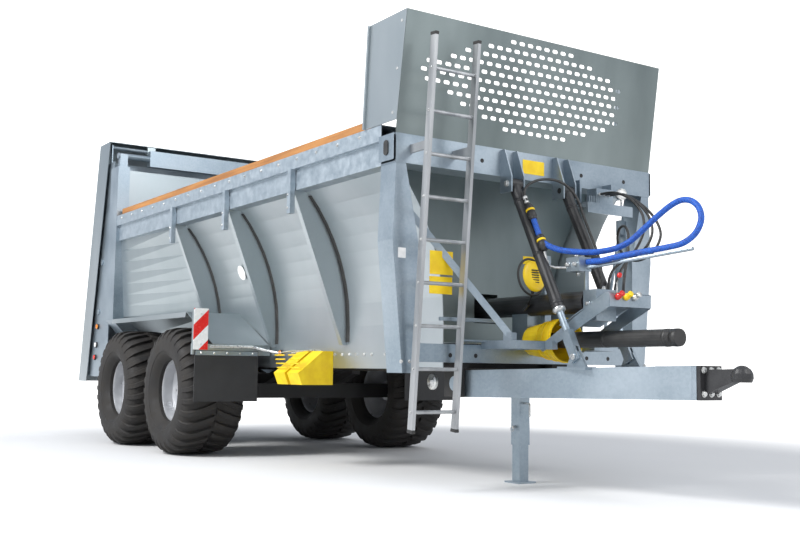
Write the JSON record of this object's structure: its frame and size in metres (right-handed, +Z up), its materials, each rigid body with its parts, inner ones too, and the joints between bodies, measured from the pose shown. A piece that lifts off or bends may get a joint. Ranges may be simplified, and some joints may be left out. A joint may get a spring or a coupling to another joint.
{
  "type": "manure spreader",
  "caption": "Towed tandem-axle manure spreader with a push-off body, dosing gate, beaters and spreading discs under a rear hood, a sprung A-frame drawbar and a parking jack.",
  "frame": {"origin": "centre of the machine's outer box, on the ground", "axes": "+X forward along the drawbar, +Y to the machine's left, +Z up"},
  "size_m": [9.1472, 3, 3.55],
  "materials": {
    "galvanised": "hot-dip galvanised, light blue-grey with a faint spangle",
    "black_steel": "black semi-gloss paint",
    "rim": "silver paint",
    "tyre": "farm flotation tyre rubber",
    "timber": "oiled softwood",
    "yellow_plastic": "moulded yellow",
    "black_plastic": "moulded black",
    "aluminium": "extruded, bare",
    "warning_panel": "reflective red and white stripes",
    "hose_blue": "blue woven hose sleeve",
    "hose_black": "black hydraulic hose"
  },
  "bodies": {
    "chassis": {"axle_front": "black_steel", "axle_rear": "black_steel", "ball_coupling": "black_steel", "chassis_frame": "black_steel", "drawbar": "galvanised", "drawbar_strut_left": "black_steel", "drawbar_strut_right": "black_steel", "fender_left": "galvanised", "fender_right": "galvanised", "front_frame": "galvanised", "front_stay_left": "galvanised", "front_stay_right": "galvanised", "gate_frame": "galvanised", "head_board": "galvanised", "hopper_floor": "galvanised", "hopper_side_left": "galvanised", "hopper_side_right": "galvanised", "hose_black_bridge": "hose_black", "hose_black_inner": "hose_black", "hose_black_middle": "hose_black", "hose_black_outer": "hose_black", "hose_blue": "hose_blue", "hose_rack": "galvanised", "jack_tube": "galvanised", "ladder": "aluminium", "mud_flap_left": "black_plastic", "mud_flap_right": "black_plastic", "pto_guard": "yellow_plastic", "push_cylinder": "black_steel", "spreader_frame": "galvanised", "timber_rail_left": "timber", "timber_rail_right": "timber", "top_rail_left": "galvanised", "top_rail_right": "galvanised", "valve_tray": "galvanised", "warning_board_left": "warning_panel", "warning_board_right": "warning_panel", "wheel_chock_front": "yellow_plastic", "wheel_chock_rear": "yellow_plastic"},
    "wheel_front_left": {"tyre_front_left": "tyre", "wheel_front_left": "rim"},
    "wheel_front_right": {"tyre_front_right": "tyre", "wheel_front_right": "rim"},
    "wheel_rear_left": {"tyre_rear_left": "tyre", "wheel_rear_left": "rim"},
    "wheel_rear_right": {"tyre_rear_right": "tyre", "wheel_rear_right": "rim"},
    "jack_leg": {"jack_leg": "galvanised"},
    "dosing_gate": {"dosing_gate": "galvanised"},
    "rear_hood": {"rear_hood": "galvanised"},
    "beater_upper": {"beater_upper": "galvanised"},
    "beater_lower": {"beater_lower": "galvanised"},
    "spreading_disc_left": {"spreading_disc_left": "galvanised"},
    "spreading_disc_right": {"spreading_disc_right": "galvanised"},
    "push_wall": {"push_wall": "galvanised"},
    "cylinder_stage_1": {"cylinder_stage_1": "galvanised"},
    "cylinder_stage_2": {"cylinder_stage_2": "galvanised"},
    "cylinder_stage_3": {"cylinder_stage_3": "galvanised"},
    "pto_shaft": {"pto_shaft": "black_plastic"}
  },
  "joints": [
    {"name": "wheel_front_left_spin", "type": "hinge", "parent": "chassis", "child": "wheel_front_left", "pos_m": [-1.14365, 1.18, 0.616], "axis": [0, 1, 0], "continuous": true},
    {"name": "wheel_front_right_spin", "type": "hinge", "parent": "chassis", "child": "wheel_front_right", "pos_m": [-1.14365, -1.18, 0.616], "axis": [0, 1, 0], "continuous": true},
    {"name": "wheel_rear_left_spin", "type": "hinge", "parent": "chassis", "child": "wheel_rear_left", "pos_m": [-2.63365, 1.18, 0.616], "axis": [0, 1, 0], "continuous": true},
    {"name": "wheel_rear_right_spin", "type": "hinge", "parent": "chassis", "child": "wheel_rear_right", "pos_m": [-2.63365, -1.18, 0.616], "axis": [0, 1, 0], "continuous": true},
    {"name": "jack_leg_lift", "type": "slide", "parent": "chassis", "child": "jack_leg", "axis": [0, 0, 1], "range_m": [0, 0.24]},
    {"name": "dosing_gate_lift", "type": "slide", "parent": "chassis", "child": "dosing_gate", "axis": [0, 0, 1], "range_m": [0, 1.35]},
    {"name": "rear_hood_open", "type": "hinge", "parent": "chassis", "child": "rear_hood", "pos_m": [-3.76365, 0, 3.49], "axis": [0, 1, 0], "range_deg": [0, 100]},
    {"name": "beater_upper_spin", "type": "hinge", "parent": "chassis", "child": "beater_upper", "pos_m": [-3.94365, 0, 2.1], "axis": [0, 1, 0], "continuous": true},
    {"name": "beater_lower_spin", "type": "hinge", "parent": "chassis", "child": "beater_lower", "pos_m": [-4.00365, 0, 1.5], "axis": [0, 1, 0], "continuous": true},
    {"name": "spreading_disc_left_spin", "type": "hinge", "parent": "chassis", "child": "spreading_disc_left", "pos_m": [-4.06365, 0.5, 0.9], "axis": [0, 0, 1], "continuous": true},
    {"name": "spreading_disc_right_spin", "type": "hinge", "parent": "chassis", "child": "spreading_disc_right", "pos_m": [-4.06365, -0.5, 0.9], "axis": [0, 0, 1], "continuous": true},
    {"name": "push_wall_travel", "type": "slide", "parent": "chassis", "child": "push_wall", "axis": [-1, 0, 0], "range_m": [0, 5.1]},
    {"name": "cylinder_stage_1_travel", "type": "slide", "parent": "chassis", "child": "cylinder_stage_1", "axis": [-1, 0, 0], "range_m": [0, 1.275]},
    {"name": "cylinder_stage_2_travel", "type": "slide", "parent": "chassis", "child": "cylinder_stage_2", "axis": [-1, 0, 0], "range_m": [0, 2.55]},
    {"name": "cylinder_stage_3_travel", "type": "slide", "parent": "chassis", "child": "cylinder_stage_3", "axis": [-1, 0, 0], "range_m": [0, 3.825]},
    {"name": "pto_shaft_spin", "type": "hinge", "parent": "chassis", "child": "pto_shaft", "pos_m": [2.65635, 0, 1.072], "axis": [1, 0, 0], "continuous": true}
  ],
  "couplings": [
    {"joint": "cylinder_stage_1_travel", "follows": "push_wall_travel", "ratio": 0.25},
    {"joint": "cylinder_stage_2_travel", "follows": "push_wall_travel", "ratio": 0.5},
    {"joint": "cylinder_stage_3_travel", "follows": "push_wall_travel", "ratio": 0.75}
  ]
}
